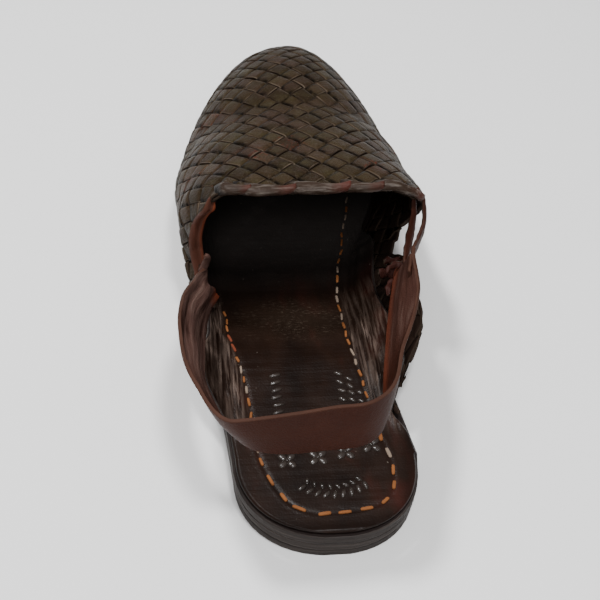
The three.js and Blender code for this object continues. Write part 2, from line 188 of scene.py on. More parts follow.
def toe_height(t):
    return (1 - np.minimum(1, t) ** TOE["ridge"]) ** (1 / TOE["ridge"])


def sole_sides(y, inset):
    """The two sides of the sole at y, moved inwards by inset."""
    if y < HEEL["y"]:
        t = min(1, (HEEL["y"] - y) / (HEEL["y"] - inset))
        k = max(0, 1 - t ** HEEL["power"]) ** (1 / HEEL["power"])
        middle = HEEL["tip_x"]
        return (middle + (HEEL["outer"] + inset - middle) * k,
                middle + (HEEL["inner"] - inset - middle) * k)
    at = min(y, TOE["y"])
    outer, inner = float(CURVE["outer"](at)) + inset, float(CURVE["inner"](at)) - inset
    if y > TOE["y"]:
        t = min(1, (y - TOE["y"]) / (SHOE_LENGTH - TOE["y"] - inset))
        middle = TOE["tip_x"] * t
        return (middle + outer * float(toe_width(t, "outer")),
                middle + inner * float(toe_width(t, "inner")))
    return outer, inner


# ---- the last: the surface that the woven upper lies on ----
def upper_point(y, across, rise):
    """Points of the upper from shares of its half width and height; arrays in, array out."""
    ahead = np.maximum(0, (y - TOE["y"]) / HOOD_LENGTH)
    at = np.minimum(y, TOE["y"])
    left, right = CURVE["wall_outer"](at), CURVE["wall_inner"](at)
    height = (CURVE["crown"](at) - sole_top(at)) * rise
    side = np.clip(across * 2.5, -1, 1)
    draw_in = np.where(side < 0, CURVE["outer"](at) + FEATHER_INSET - left,
                       CURVE["inner"](at) - FEATHER_INSET - right)
    low = unit(1 - height / CURVE["under"](at))
    x = (left + right) / 2 + TOE["tip_x"] * ahead + (right - left) / 2 * across
    x = x + np.abs(side) * draw_in * low ** 1.5
    return np.stack([x, y + 0 * x, height + sole_top(y)], axis=-1)


def arch_points(y, angle):
    t = unit((y - TOE["y"]) / HOOD_LENGTH)
    power = 2 / CURVE["square"](np.minimum(y, TOE["y"]))
    cosine = np.cos(angle)
    width = np.where(cosine > 0, toe_width(t, "outer"), toe_width(t, "inner"))
    across = -np.sign(cosine) * np.abs(cosine) ** power * width
    return upper_point(y, across, np.abs(np.sin(angle)) ** power * toe_height(t))


# collar line of each side, y and z from the throat down and back to the end of the wing
COLLAR = {
    "outer": ((118, 100), (118, 60), (121, 52), (121, 38), (116, 27), (106, 22), (96, 17),
              (88, 5)),
    "inner": ((118, 100), (118, 62), (127, 57), (133, 50), (137, 40), (142, 29), (141, 21),
              (131, 19), (126, 24), (116, 31), (104, 32), (92, 29.5), (82, 27.5), (72, 24),
              (60, 16), (54, 5)),
}
COLLAR_GATHER = {"depth": 5.2, "reach": 17}
BELOW, AHEAD, ABOVE = -60, 400, 100     # where the upper's outline closes, far from the shoe


def ahead_of(line, y, z):
    """How far the points y, z lie ahead of a collar line; negative behind it."""
    outline = [*line, (line[-1][0], BELOW), (AHEAD, BELOW), (AHEAD, ABOVE)]
    nearest = np.full(np.shape(y), 1e9)
    for (y0, z0), (y1, z1) in zip(outline, outline[1:] + outline[:1]):
        dy, dz = y1 - y0, z1 - z0
        t = unit(((y - y0) * dy + (z - z0) * dz) / (dy * dy + dz * dz))
        nearest = np.minimum(nearest, np.hypot(y - y0 - t * dy, z - z0 - t * dz))
    return np.where(within(outline, y, z), nearest, -nearest)


# ---- the lattice of the weave ----
# Rows are counted along the ridge from behind the collar to the toe, columns down each side
# from the ridge, both in steps of half a crossing. Past its foot a column hangs straight down.
WOVEN_START = 48
LAST_ARCH = 0.6
FINE = 4                    # table places to one step
COLUMNS = 22                # steps down each side
RIDGE_PLACES = 401
ARCH_PLACES = 241


def weave_table():
    reach = TOE["y"] + HOOD_LENGTH - LAST_ARCH - WOVEN_START
    ridge_y = WOVEN_START + reach * (1 - (1 - np.linspace(0, 1, RIDGE_PLACES)) ** 2)
    walk = walked(arch_points(ridge_y, np.full(RIDGE_PLACES, math.pi / 2)))
    rows = round(walk[-1] / ROW_STEP)
    ys = np.interp(np.linspace(0, walk[-1], rows * FINE + 1), walk, ridge_y)
    down = np.arange(COLUMNS * FINE + 1) * COLUMN_STEP / FINE
    table = np.empty((len(ys), 2 * COLUMNS * FINE + 1, 3))
    hang = np.empty(table.shape[:2])
    for i, y in enumerate(ys):
        for side in (-1, 1):
            half = arch_points(y, math.pi / 2 * (1 + side * np.linspace(0, 1, ARCH_PLACES)))
            far = walked(half)
            at = slice(COLUMNS * FINE, None, side)
            hang[i, at] = down - far[-1]
            line = np.stack([np.interp(down, far, half[:, k]) for k in range(3)], axis=-1)
            line[:, 2] -= np.maximum(0, down - far[-1])
            table[i, at] = line
    return table, hang, rows


def gather_collar(table):
    """Draws the outer wall inwards where the collar's strip holds it tight."""
    x, y, z = np.moveaxis(table, -1, 0)
    line_y, line_z = np.array(COLLAR["outer"][::-1], float).T
    near = 1 - smooth(0, COLLAR_GATHER["reach"], y - np.interp(z, line_z, line_y))
    high = smooth(16, 30, z) * (1 - 0.8 * smooth(60, 70, z))
    outer = 1 - smooth(-40, -24, x)
    table[..., 0] += COLLAR_GATHER["depth"] * near * high * outer
    return table


POINTS, HANG, ROWS = weave_table()
POINTS = gather_collar(POINTS)
NORMALS = np.cross(np.gradient(POINTS, axis=1), np.gradient(POINTS, axis=0))
NORMALS /= np.maximum(1e-9, np.linalg.norm(NORMALS, axis=2, keepdims=True))


def from_table(table, i, j):
    """Reads a table of the lattice between its places; i and j are arrays of steps."""
    a = np.clip(np.asarray(i, float) * FINE, 0, table.shape[0] - 1.001)
    b = np.clip((np.asarray(j, float) + COLUMNS) * FINE, 0, table.shape[1] - 1.001)
    k, m = a.astype(int), b.astype(int)
    s, t = a - k, b - m
    if table.ndim == 3:
        s, t = s[..., None], t[..., None]
    return ((table[k, m] * (1 - s) + table[k + 1, m] * s) * (1 - t)
            + (table[k, m + 1] * (1 - s) + table[k + 1, m + 1] * s) * t)


# how far inside the upper each place of the lattice lies; negative where it is cut away
OUTER_AHEAD, INNER_AHEAD = (ahead_of(COLLAR[side], POINTS[..., 1], POINTS[..., 2])
                            for side in ("outer", "inner"))
KEPT = np.minimum(np.where(POINTS[..., 0] < 0, OUTER_AHEAD, INNER_AHEAD), -HANG - 0.2)


# ---- small mesh helpers ----
def new_mesh(*names, mapped=False):
    """An empty mesh with layers for what the materials read, and perhaps a strip's map."""
    bm = bmesh.new()
    if mapped:
        bm.loops.layers.uv.new("strip")
    return bm, [bm.verts.layers.float.new(name) for name in names]


def sheet(bm, along, across):
    """A flat grid to be shaped: its vertices, and their shares along and across."""
    verts = bmesh.ops.create_grid(bm, x_segments=along, y_segments=across, size=0.5)["verts"]
    return verts, *(np.array([v.co[axis] + 0.5 for v in verts]) for axis in (0, 1))


def lay(verts, points, layers, *shares):
    """Moves vertices to their points and gives them their shares."""
    for vert, point, *given in zip(verts, points, *shares):
        vert.co = place(point)
        for layer, share in zip(layers, given):
            vert[layer] = share


def map_strip(bm, steps):
    """The strip's own map: for each vertex, millimetres along and across."""
    uv = bm.loops.layers.uv["strip"]
    for vert, step in steps.items():
        for loop in vert.link_loops:
            loop[uv].uv = step


def new_piece(name, bm, *materials):
    mesh = bpy.data.meshes.new(name)
    bm.to_mesh(mesh)
    bm.free()
    piece = bpy.data.objects.new(name, mesh)
    bpy.context.scene.collection.objects.link(piece)
    for material in materials:
        mesh.materials.append(material)
    for face in mesh.polygons:
        face.use_smooth = True
    return piece


def new_sheet(name, bm, materials, thickness, offset=0.0, face_up=False):
    """A piece of leather; its rim takes the material after that of its face."""
    bmesh.ops.recalc_face_normals(bm, faces=bm.faces)
    if face_up and sum(face.normal.z for face in bm.faces) < 0:
        bmesh.ops.reverse_faces(bm, faces=bm.faces)
    piece = new_piece(name, bm, *materials)
    solid = piece.modifiers.new("thickness", "SOLIDIFY")
    solid.thickness = thickness * MM
    solid.offset = offset
    solid.use_even_offset = False
    solid.material_offset_rim = 1
    return piece


# ---- materials ----
class Nodes:
    """Short calls for laying out one node tree."""

    def __init__(self, tree):
        self.tree = tree

    def add(self, kind, **settings):
        node = self.tree.nodes.new(kind)
        for name, value in settings.items():
            setattr(node, name, value)
        return node

    def feed(self, value, into):
        """Gives an input a number or a colour, or links an output to it."""
        if isinstance(value, (int, float)):
            into.default_value = value
        elif isinstance(value, tuple):
            into.default_value = (*value, 1)
        else:
            self.tree.links.new(value, into)

    def math(self, operation, *values, clamp=False):
        node = self.add("ShaderNodeMath", operation=operation, use_clamp=clamp)
        for value, into in zip(values, node.inputs):
            self.feed(value, into)
        return node.outputs[0]

    def times(self, a, b, clamp=False):
        return self.math("MULTIPLY", a, b, clamp=clamp)

    def plus(self, a, b):
        return self.math("ADD", a, b)

    def minus(self, a, b, clamp=False):
        return self.math("SUBTRACT", a, b, clamp=clamp)

    def above(self, a, b, slope):
        """How far a is above b, times a slope, kept from 0 to 1."""
        return self.times(self.minus(a, b), slope, clamp=True)

    def ramp(self, value, *stops):
        node = self.add("ShaderNodeValToRGB")
        ramp = node.color_ramp
        while len(ramp.elements) < len(stops):
            ramp.elements.new(0.5)
        for element, (position, color) in zip(ramp.elements, stops):
            element.position = position
            element.color = (*color, 1)
        self.feed(value, node.inputs["Fac"])
        return node.outputs["Color"]

    def mix(self, share, a, b):
        node = self.add("ShaderNodeMix", data_type="RGBA")
        for value, index in ((share, 0), (a, 6), (b, 7)):
            self.feed(value, node.inputs[index])
        return node.outputs[2]

    def over(self, color, *dyes):
        """A colour with one dye after another laid over it, each as a share and a colour."""
        for share, dye in dyes:
            color = self.mix(share, color, dye)
        return color

    def noise(self, vector, scale, detail, rough):
        node = self.add("ShaderNodeTexNoise")
        for name, value in (("Scale", scale), ("Detail", detail), ("Roughness", rough),
                            ("Vector", vector)):
            self.feed(value, node.inputs[name])
        return node.outputs["Fac"]

    def drawn_out(self, vector, stretch, detail, rough, scale=1.0):
        """Noise drawn out by a factor along each axis."""
        node = self.add("ShaderNodeMapping")
        node.inputs["Scale"].default_value = stretch
        self.feed(vector, node.inputs["Vector"])
        return self.noise(node.outputs["Vector"], scale, detail, rough)


PORES, WRINKLES, BLOTCHES = 1500, 420, 70       # how fine each of them is, to the metre
PORE_DEPTH = 0.35


class Finish(Nodes):
    """The nodes of one material; leather has pores and wrinkles as a height, and blotches."""

    def __init__(self, name, wrinkles=None):
        self.material = bpy.data.materials.new(name)
        self.material.use_nodes = True
        super().__init__(self.material.node_tree)
        self.shader = self.tree.nodes["Principled BSDF"].inputs
        if wrinkles is not None:
            self.here = self.add("ShaderNodeTexCoord").outputs["Object"]
            pores = self.add("ShaderNodeTexVoronoi", feature="F1")
            self.feed(PORES, pores.inputs["Scale"])
            self.feed(self.here, pores.inputs["Vector"])
            self.pores = self.plus(self.times(pores.outputs["Distance"], PORE_DEPTH),
                                   self.times(self.noise(self.here, WRINKLES, 4, 0.6), wrinkles))
            self.blotches = self.noise(self.here, BLOTCHES, 3, 0.6)

    def attributes(self, *names):
        return [self.add("ShaderNodeAttribute", attribute_name=name).outputs["Fac"]
                for name in names]

    def strip_map(self):
        return self.add("ShaderNodeUVMap", uv_map="strip").outputs["UV"]

    def bump(self, height, strength, depth):
        node = self.add("ShaderNodeBump")
        for name, value in (("Height", height), ("Strength", strength), ("Distance", depth * MM)):
            self.feed(value, node.inputs[name])
        self.feed(node.outputs["Normal"], self.shader["Normal"])

    def surface(self, color, roughness, gloss):
        for name, value in (("Base Color", color), ("Roughness", roughness),
                            ("Specular IOR Level", gloss)):
            self.feed(value, self.shader[name])
        return self.material


def woven_leather():
    """Top of the strips: dark brown, creased across with painted shade in the creases, black
    painted shade where it dives, pale grain specks that are also painted highlights, red where
    rubbed.
    """
    n = Finish("woven_leather", wrinkles=0.6)
    shade, worn, edge, painted_dive_shade = n.attributes("shade", "worn", "edge", "painted_dive_shade")
    strip = n.strip_map()
    creases = n.drawn_out(strip, (1.1, 0.45, 1), 4, 0.65, scale=1.2)
    specks = n.noise(strip, 1.7, 2, 0.6)
    hues = n.drawn_out(n.here, (80, 80, 80), 3, 0.6)
    gaps = n.drawn_out(n.here, (330, 330, 330), 2, 0.6)
    base = n.ramp(shade, (0.0, (0.016, 0.0092, 0.0048)), (0.5, (0.026, 0.0158, 0.008)),
                  (1.0, (0.04, 0.025, 0.013)))
    olive, mauve = n.above(hues, 0.51, 6), n.above(0.49, hues, 6)
    rubbed = n.times(worn, n.plus(n.times(edge, edge), 0.15), clamp=True)
    rims = n.times(n.above(edge, 0.86, 12), n.above(n.blotches, 0.44, 5))
    color = n.over(base, (n.times(n.blotches, 0.6), (0.024, 0.019, 0.01)),
                   (n.times(olive, 0.6), (0.037, 0.03, 0.0145)),
                   (n.times(mauve, 0.6), (0.041, 0.024, 0.0185)),
                   # painted shade in the troughs of the creases
                   (n.times(n.above(0.47, creases, 9), 0.5), (0.009, 0.0055, 0.0036)),
                   # pale specks of the grain, also painted as small highlights
                   (n.above(specks, 0.58, 4.0), (0.11, 0.084, 0.066)),
                   (n.times(rubbed, n.above(creases, 0.5, 7)), (0.17, 0.012, 0.008)),
                   (rims, (0.12, 0.092, 0.066)),
                   # painted shade where the strip dives under its neighbour, broken up by noise
                   (n.times(painted_dive_shade, n.above(gaps, 0.3, 5)), (0.0022, 0.0014, 0.001)))
    rough = n.plus(n.plus(n.times(n.blotches, 0.3), 0.26), n.times(shade, -0.06))
    n.feed(0.02, n.shader["Coat Weight"])
    n.feed(0.22, n.shader["Coat Roughness"])
    n.bump(n.plus(creases, n.times(n.pores, 0.35)), strength=0.9, depth=0.8)
    return n.surface(color, rough, gloss=0.02)


def plain_leather(name, dark, light, roughness, gloss=0.1):
    n = Finish(name, wrinkles=0.5)
    n.bump(n.pores, strength=0.6, depth=0.2)
    rough = n.plus(n.times(n.blotches, 0.16), roughness - 0.08)
    return n.surface(n.mix(n.blotches, dark, light), rough, gloss)


def rolled_leather():
    """Strips rolled over the throat's edge: grey streaks on top that are painted highlights, red
    ends, and painted shade at their beginnings, tucked under the strip before.
    """
    n = Finish("rolled_leather", wrinkles=0.6)
    worn, shade = n.attributes("worn", "shade")
    streaks = n.drawn_out(n.here, (110, 800, 800), 3, 0.6)
    brown = n.mix(n.blotches, (0.014, 0.0085, 0.0055), (0.036, 0.0215, 0.0145))
    ends = n.times(worn, n.times(n.minus(n.blotches, 0.3), 2.5), clamp=True)
    # the grey streaks are painted highlights; the shade share is painted shade at each strip's
    # tucked start
    color = n.over(brown, (n.above(streaks, 0.5, 5), (0.09, 0.074, 0.062)),
                   (ends, (0.078, 0.019, 0.014)), (shade, (0.0035, 0.0022, 0.0016)))
    n.bump(n.plus(n.times(streaks, 1.2), n.pores), strength=0.7, depth=0.4)
    return n.surface(color, roughness=0.45, gloss=0.12)


def collar_leather():
    """Red-brown strip round the outer corner, bare and orange where it rolls over."""
    n = Finish("collar_leather", wrinkles=0.6)
    edge, worn = n.attributes("edge", "worn")
    off_roll = n.times(n.math("ABSOLUTE", n.minus(edge, 0.62)), 11)
    rolled = n.times(n.minus(1.0, off_roll, clamp=True), worn)
    brown = n.mix(n.blotches, (0.036, 0.016, 0.01), (0.088, 0.03, 0.02))
    bare = n.mix(n.blotches, (0.11, 0.032, 0.019), (0.26, 0.052, 0.016))
    n.bump(n.pores, strength=0.6, depth=0.25)
    return n.surface(n.mix(rolled, brown, bare), roughness=0.45, gloss=0.08)


def strap_leather():
    """Smooth red-brown band, streaked lengthwise where it is folded, orange at its front end; the
    folded part is paler as a painted sheen, with painted highlights on the streaks' crests and
    painted shade in their troughs.
    """
    n = Finish("strap_leather", wrinkles=0.35)
    shade, edge, worn = n.attributes("shade", "edge", "worn")
    folds = n.drawn_out(n.strip_map(), (0.03, 0.36, 1), 4, 0.6)
    crests, troughs = n.above(folds, 0.5, 6), n.above(0.47, folds, 8)
    brown = n.mix(n.blotches, (0.022, 0.0066, 0.004), (0.046, 0.0145, 0.0086))
    # painted sheen on the folded part, with painted highlights on the crests and painted shade in
    # the troughs
    color = n.over(brown, (n.times(shade, 0.6), (0.088, 0.052, 0.044)),
                   (n.times(shade, crests, clamp=True), (0.12, 0.074, 0.06)),
                   (n.times(shade, troughs, clamp=True), (0.02, 0.0085, 0.006)),
                   (worn, (0.16, 0.034, 0.014)),
                   (n.times(n.above(edge, 0.965, 30), 0.5), (0.085, 0.042, 0.028)))
    n.bump(n.plus(n.times(n.times(folds, shade), 3.0), n.pores), strength=0.6, depth=0.5)
    return n.surface(color, n.plus(n.times(n.blotches, 0.2), 0.42), gloss=0.05)


def stacked_edge():
    """Cut edge of the sole: thin layers that show as level lines."""
    n = Finish("stacked_edge", wrinkles=0.5)
    layers = n.drawn_out(n.here, (30, 30, 900), 3, 0.6)
    edge = n.ramp(layers, (0.3, (0.013, 0.009, 0.0075)), (0.5, (0.027, 0.02, 0.017)),
                  (0.72, (0.058, 0.045, 0.039)))
    upwards = n.add("ShaderNodeSeparateXYZ")
    n.feed(n.add("ShaderNodeNewGeometry").outputs["Normal"], upwards.inputs["Vector"])
    top = n.above(upwards.outputs["Z"], 0.6, 5)
    n.bump(n.plus(layers, n.times(n.pores, 0.4)), strength=0.7, depth=0.35)
    return n.surface(n.mix(top, edge, (0.012, 0.007, 0.006)), roughness=0.62, gloss=0.2)


def border_leather():
    """Toe border: a few narrow strips laid level round the toe, one above the other."""
    n = Finish("border_leather", wrinkles=0.6)
    layers = n.drawn_out(n.here, (25, 25, 520), 3, 0.6)
    color = n.ramp(layers, (0.35, (0.006, 0.004, 0.003)), (0.5, (0.022, 0.014, 0.01)),
                   (0.7, (0.05, 0.034, 0.026)))
    n.bump(n.plus(n.times(layers, 2.0), n.pores), strength=0.8, depth=0.6)
    return n.surface(color, roughness=0.5, gloss=0.1)


def footbed_leather():
    """Near black and glossy, creased across the middle with a painted sheen on the creases, pale
    wrinkles in its margins with painted highlights on their ridges, a pale patch of rubbed wear
    and painted sheen, painted shade under the upper and a painted dim grey light deeper inside.
    """
    n = Finish("footbed_leather", wrinkles=0.5)
    margin, pale, covered, deep = n.attributes("margin", "worn", "shade", "deep")
    across = n.drawn_out(n.here, (40, 420, 30), 4, 0.68)
    along = n.drawn_out(n.here, (950, 60, 1), 3, 0.6)
    tones = n.drawn_out(n.here, (45, 20, 1), 3, 0.6)
    fibres = n.drawn_out(n.here, (430, 1000, 1), 4, 0.75)
    patches = n.drawn_out(n.here, (90, 130, 1), 2, 0.5)
    pale_dots = n.drawn_out(n.here, (650, 520, 1), 1, 0.5)
    base = n.ramp(tones, (0.32, (0.0058, 0.0031, 0.0023)), (0.55, (0.012, 0.0058, 0.0038)),
                  (0.75, (0.033, 0.0088, 0.006)))
    scuffs = n.times(n.above(fibres, 0.53, 6), n.above(patches, 0.36, 4))
    ridges = n.times(margin, n.above(along, 0.42, 4.5), clamp=True)
    # painted sheen on the crests of the crosswise creases
    color = n.over(base, (n.times(n.above(across, 0.54, 4.0), 0.09), (0.042, 0.024, 0.017)),
                   # a pale patch, partly rubbed wear and partly painted sheen, paler in scattered
                   # scuffs
                   (n.times(pale, 0.5), (0.04, 0.026, 0.018)),
                   (n.times(pale, scuffs), (0.125, 0.094, 0.07)),
                   # painted shade under the upper
                   (n.times(covered, 0.7), (0.003, 0.002, 0.0016)),
                   # a painted dim grey light deeper inside the upper
                   (deep, (0.034, 0.029, 0.027)),
                   # sparse pale dots
                   (n.times(n.above(pale_dots, 0.77, 14), 0.7), (0.3, 0.26, 0.22)),
                   # painted highlights on the ridges of the margins' wrinkles
                   (ridges, (0.13, 0.094, 0.076)))
    height = n.plus(n.times(across, 0.7), n.times(n.pores, 0.35))
    n.bump(n.plus(height, n.times(n.times(along, margin), 2.5)), strength=0.7, depth=0.5)
    return n.surface(color, n.plus(n.times(n.blotches, 0.34), 0.2), gloss=0.11)


def thread(name, color):
    n = Finish(name, wrinkles=0.9)
    n.bump(n.pores, strength=0.8, depth=0.3)
    worn = tuple(0.35 * c for c in color)
    return n.surface(n.mix(n.blotches, worn, color), roughness=0.75, gloss=0.15)


WOVEN = woven_leather()
CUT_EDGE = plain_leather("cut_edge", (0.007, 0.0045, 0.0032), (0.046, 0.03, 0.02), 0.8)
FLESH_SIDE = plain_leather("flesh_side", (0.008, 0.0045, 0.0032), (0.027, 0.015, 0.0105), 0.8)
STRAP = strap_leather()
TORN = plain_leather("torn_leather", (0.008, 0.0038, 0.0028), (0.04, 0.011, 0.008), 0.6)
ROLLED = rolled_leather()
COLLAR_RED = collar_leather()
STRAP_EDGE = plain_leather("strap_edge", (0.024, 0.009, 0.0055), (0.066, 0.03, 0.02), 0.7)
SOLE_EDGE = stacked_edge()
BORDER = border_leather()
FOOTBED = footbed_leather()
MARKED = plain_leather("marked_leather", (0.006, 0.0042, 0.0035), (0.04, 0.029, 0.024), 0.26,
                       gloss=0.4)
THREADS = {"orange": thread("orange_thread", (0.26, 0.094, 0.029)),
           "pale": thread("pale_thread", (0.28, 0.21, 0.16)),
           "rust": thread("rust_thread", (0.2, 0.045, 0.02))}


# ---- the woven upper ----
LAYER = 0.56                # how far a strip swings to each side of the weave's middle
MIDDLE = -0.35              # the weave's middle, measured from the wall of the last
DIVE = 0.40                 # how late a strip starts to dive under its neighbour
CROSSING = math.hypot(ROW_STEP, COLUMN_STEP)
STRIP_PITCH = 2 * ROW_STEP * COLUMN_STEP / CROSSING
STRIP_WIDTH = 0.86          # of the pitch
ALONG_PER_CROSSING = 8
ACROSS = 5
TONES = 120                 # random tones and tilts drawn for one strip, one for a crossing
TRIM_PACE = 0.1
TRIM_TRIES = 14
SHORTEST = 0.5              # runs of a strip, in crossings
# how much a strip's width varies, how it tilts round and along itself, how much lower its sides
# lie, and how far the first family's strips drop where they come out from under the second's
UNEVEN = {"width": 0.06, "roll": 0.16, "pitch": 0.3, "sides": 0.14, "start": 0.35}
TOE_SHADE = {"from": 222, "to": 262, "share": 0.6}
RED_SPOTS = (               # where the dye is rubbed red, and how far round
    {"x": 24, "y": 136, "reach": 8}, {"x": -20, "y": 146, "reach": 8},
    {"x": -6, "y": 156, "reach": 9}, {"x": -36, "y": 205, "reach": 9},
    {"x": 42, "y": 176, "reach": 12}, {"x": -46, "y": 150, "reach": 10},
)


def swing(along):
    """1 on top of a crossing and -1 below it: flat, with a quick dive between the two."""
    share = unit(np.cos(math.pi * along) / (2 * DIVE) + 0.5)
    return 2 * share * share * (3 - 2 * share) - 1


# strips are meshed closer together where they dive
EVEN = np.arange(-COLUMNS - 2, 90, 0.02)
CLOSER = EVEN + 0.085 * np.sin(2 * math.pi * EVEN)


def strip_steps(family, line, along, width):
    """Lattice steps of a strip: family 1 runs outwards to inwards, -1 the other way."""
    i = along + line + family * width / 2
    j = family * (along - line) - width / 2
    return i, j


def strip_runs(family, line):
    """Stretches of a strip's middle that lie on the upper."""
    along = np.arange(-COLUMNS, ROWS + COLUMNS, TRIM_PACE)
    i, j = strip_steps(family, line, along, 0)
    good = (from_table(KEPT, i, j) > 0) & (i >= 0) & (i <= ROWS) & (np.abs(j) < COLUMNS)
    turns = np.flatnonzero(np.diff(good.astype(int)))
    runs = [(along[a + 1], along[b]) for a, b in zip(turns[::2], turns[1::2])]
    return [run for run in runs if run[1] - run[0] > SHORTEST]


def strip_end(family, line, width, at, outwards):
    """Where one edge line of a strip leaves the upper, looked for near the middle's end."""
    for pace, found in ((TRIM_PACE * outwards, False), (-TRIM_PACE * outwards, True)):
        for _ in range(TRIM_TRIES):
            i, j = strip_steps(family, line, at, width)
            if (from_table(KEPT, i, j) > 0 and 0 <= i <= ROWS) == found:
                break
            at += pace
    return at


def woven_strips(name, family):
    bm, layers = new_mesh("shade", "worn", "edge", "painted_dive_shade", mapped=True)
    for line in range(-COLUMNS // 2 - 2, (ROWS + COLUMNS) // 2 + 2):
        tones = np.array([luck.random() for _ in range(TONES)])
        rolls = np.array([luck.uniform(-1, 1) for _ in range(TONES)])
        pitches = np.array([luck.uniform(-1, 1) for _ in range(TONES)])
        for run in strip_runs(family, line):
            slack = STRIP_WIDTH + UNEVEN["width"] * luck.uniform(-1, 1)
            phase = luck.uniform(0, 6.28)
            widths = [(2 * k / ACROSS - 1) * slack for k in range(ACROSS + 1)]
            ends = [[strip_end(family, line, width, at, outwards)
                     for at, outwards in zip(run, (-1, 1))] for width in widths]
            ends = np.interp(np.array(ends), CLOSER, EVEN)
            count = max(2, round((run[1] - run[0]) * ALONG_PER_CROSSING))
            verts, t, w = sheet(bm, count, ACROSS)
            k = np.rint(w * ACROSS).astype(int)
            along = np.interp(ends[k, 0] * (1 - t) + ends[k, 1] * t, EVEN, CLOSER)
            side = 2 * w - 1
            wobble = 0.05 * np.sin(along * 0.9 + phase) + 0.04 * np.sin(along * 2.3 + 2 * phase)
            i, j = strip_steps(family, line, along, side * slack + wobble)
            middle = np.floor(along + 0.5)
            crossing = middle.astype(int) + COLUMNS + 4
            top = unit(1 - 2 * np.abs(along - middle))
            past = along - np.rint(along)
            tilt = (UNEVEN["roll"] * rolls[crossing] * side
                    + UNEVEN["pitch"] * pitches[crossing] * past)
            level = family * swing(along + line)
            lift = (MIDDLE + LAYER * level - UNEVEN["sides"] * side ** 4
                    + tilt * np.minimum(1, 3 * top))
            # painted shade: darker where the strip dives under its neighbour, and on the first
            # family also along one end and one side edge of each cell, as the zigzag shadows
            # between cells
            dark = unit((0.25 - level) / 0.8)
            if family > 0:
                shaded = np.maximum((-past - 0.24) / 0.12, (side - 0.66) / 0.24)
                dark = np.maximum(dark, 0.92 * unit(shaded))
                lift = lift - UNEVEN["start"] * unit(-past)
            at = from_table(POINTS, i, j)
            shaded = TOE_SHADE["share"] * smooth(TOE_SHADE["from"], TOE_SHADE["to"], at[:, 1])
            red = np.zeros(len(t))
            for spot in RED_SPOTS:
                far = np.hypot(at[:, 0] - spot["x"], at[:, 1] - spot["y"]) / spot["reach"]
                red = np.maximum(red, unit(1 - far))
            lay(verts, at + from_table(NORMALS, i, j) * lift[:, None], layers,
                tones[crossing] * (1 - shaded), red, np.abs(side), dark)
            map_strip(bm, {vert: (a * CROSSING, (b - 0.5) * STRIP_PITCH + line * 3.7)
                           for vert, a, b in zip(verts, along, w)})
    piece = new_sheet(name, bm, (WOVEN, CUT_EDGE, FLESH_SIDE), STRIP_THICKNESS)
    piece.modifiers["thickness"].material_offset = 2
    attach(piece, "root")
    return piece


luck = random.Random(SEED)
strips_one = woven_strips("upper_strips_one", 1)
woven_strips("upper_strips_two", -1)
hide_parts("upper")


# ---- rolled strips along the throat and the collar ----
# Each strip of the throat's edge comes out from under the one before it, rolls over the edge
# and swells backwards before the next one takes over. Places are in steps of the lattice.
THROAT_STRIPS = (
    {"start": -7.0, "end": -4.1, "swell": 0.9, "width": 4.2},
    {"start": -5.6, "end": -0.9, "swell": 2.4, "width": 5.8},
    {"start": -2.2, "end": 2.9, "swell": 2.2, "width": 6.0},
    {"start": 1.9, "end": 5.2, "swell": 1.3, "width": 4.6},
    {"start": 4.2, "end": 8.2, "swell": 1.1, "width": 4.8},
)
# radius of the roll, how far a strip's start is tucked in, how much its end narrows, and the
# shares across it where the roll starts and ends
ROLL = {"radius": 1.15, "tuck": 1.8, "narrow": 0.74, "from": 0.48, "to": 0.76}
TOP_OF_FOOT = 143           # a station where every column is on the upper


def edge_rows():
    """For each column of the lattice, the row where the upper's wall starts."""
    columns = np.arange(-COLUMNS, COLUMNS + 0.01, 1 / FINE)
    rows = []
    for k, column in enumerate(columns):
        ahead = (OUTER_AHEAD if column < 0 else INNER_AHEAD)[:, k]
        behind = int(np.argmax(POINTS[:, k, 1] > TOP_OF_FOOT))
        while behind > 1 and ahead[behind - 1] > 0:
            behind -= 1
        a, b = ahead[behind - 1], ahead[behind]
        rows.append((behind - b / max(1e-6, b - a)) / FINE)
    return columns, rows


EDGE_COLUMNS, EDGE_ROWS = edge_rows()


def on_upper(rows_ahead, column, height):
    """Points above the lattice, by rows ahead of the upper's edge, column and millimetres."""
    row = np.interp(column, EDGE_COLUMNS, EDGE_ROWS) + rows_ahead
    return from_table(POINTS, row, column) + from_table(NORMALS, row, column) * height[:, None]


def rolled_strip(bm, layers, start, end, swell, width):
    """One strip that comes down to the edge and rolls over it; width is its part on top."""
    verts, u, q = sheet(bm, max(10, round((end - start) * 8)), 14)
    column = start + (end - start) * u
    under = 1 - smooth(0.0, 0.34, u)
    shift = (ROLL["tuck"] * under
             - swell * np.sin(math.pi * unit((u - 0.12) / 0.88)) ** 0.9)
    top = width * (1 - ROLL["narrow"] * smooth(0.1, 1.0, u))
    on_top, below = ROLL["from"], ROLL["to"]
    angle = math.pi * unit((q - on_top) / (below - on_top))
    forward = np.where(q < on_top, top * (1 - q / on_top), 0)
    forward = np.where(q > below, 3.0 * (q - below) / (1 - below), forward)
    height = (MIDDLE + ROLL["radius"] * np.cos(angle) + 0.55 * u
              - 0.8 * unit(1 - q / 0.10))
    height = height + 0.22 * np.sin(math.pi * unit(q / on_top)) - 1.5 * under
    corner = between((4.2, 6.6), (7.6, 9.4), np.abs(column))
    back = ROLL["radius"] * np.sin(angle)
    points = on_upper((shift + forward - back) / ROW_STEP, column, height + 1.7 * corner)
    points = [Vector(p) + noise.noise_vector(Vector(p) * 0.14) * 0.7 for p in points]
    # red wear towards the end; painted shade where the strip starts tucked under the one before
    lay(verts, points, layers, smooth(0.6, 1.0, u), 1 - smooth(0.06, 0.3, u))


